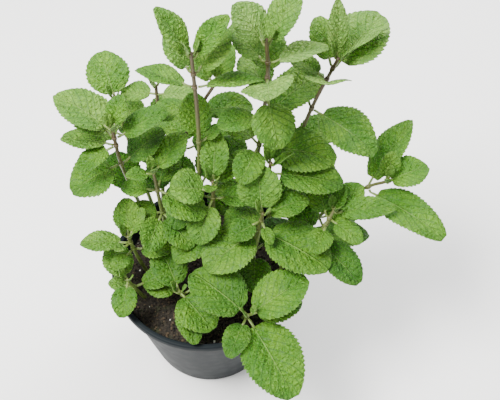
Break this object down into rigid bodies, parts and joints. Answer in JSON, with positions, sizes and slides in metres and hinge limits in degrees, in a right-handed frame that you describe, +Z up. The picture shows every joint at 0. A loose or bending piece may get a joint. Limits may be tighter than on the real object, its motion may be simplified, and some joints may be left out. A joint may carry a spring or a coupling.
{
  "type": "potted mint plant",
  "caption": "Bushy mint plant with serrated oval leaves on upright stems, growing from soil in a round tapered dark plastic pot.",
  "frame": {"origin": "centre of the pot's flat underside", "axes": "+Z up along the pot's axis; the tallest shoots stand toward +Y and the plant is viewed from -Y"},
  "size_m": [0.2406, 0.1984, 0.2846],
  "materials": {
    "pot_plastic": "matte",
    "soil_mix": "matte",
    "stem_green": "matte",
    "leaf_green": "matte"
  },
  "bodies": {
    "root": {"pot": "pot_plastic", "soil": "soil_mix", "shoot_a": "stem_green", "leaves_a1": "leaf_green", "leaves_a2": "leaf_green", "leaves_a3": "leaf_green", "leaves_a4": "leaf_green", "shoot_b": "stem_green", "leaves_b1": "leaf_green", "leaves_b2": "leaf_green", "leaves_b3": "leaf_green", "leaves_b4": "leaf_green", "leaves_b5": "leaf_green", "shoot_c": "stem_green", "leaves_c1": "leaf_green", "leaves_c2": "leaf_green", "leaves_c3": "leaf_green", "leaves_c4": "leaf_green", "shoot_d": "stem_green", "leaves_d1": "leaf_green", "leaves_d2": "leaf_green", "shoot_e": "stem_green", "leaves_e1": "leaf_green", "leaves_e2": "leaf_green", "leaves_e3": "leaf_green", "leaves_e4": "leaf_green", "shoot_f": "stem_green", "leaves_f1": "leaf_green", "shoot_g": "stem_green", "leaves_g1": "leaf_green", "leaves_g2": "leaf_green", "shoot_h": "stem_green", "leaves_h1": "leaf_green", "shoot_j": "stem_green", "leaves_j1": "leaf_green", "leaves_j2": "leaf_green", "leaves_j3": "leaf_green", "shoot_k": "stem_green", "leaves_k1": "leaf_green", "leaves_k2": "leaf_green", "leaves_k3": "leaf_green", "shoot_l": "stem_green", "leaves_l1": "leaf_green", "shoot_m": "stem_green", "leaves_m1": "leaf_green", "shoot_n": "stem_green", "leaves_n1": "leaf_green", "leaves_n2": "leaf_green", "shoot_q": "stem_green", "leaves_q1": "leaf_green", "leaves_q2": "leaf_green", "leaves_q3": "leaf_green", "shoot_r": "stem_green", "leaves_r1": "leaf_green", "leaves_r2": "leaf_green", "shoot_s": "stem_green", "leaves_s1": "leaf_green", "leaves_s2": "leaf_green", "shoot_t": "stem_green", "leaves_t1": "leaf_green"}
  },
  "joints": []
}
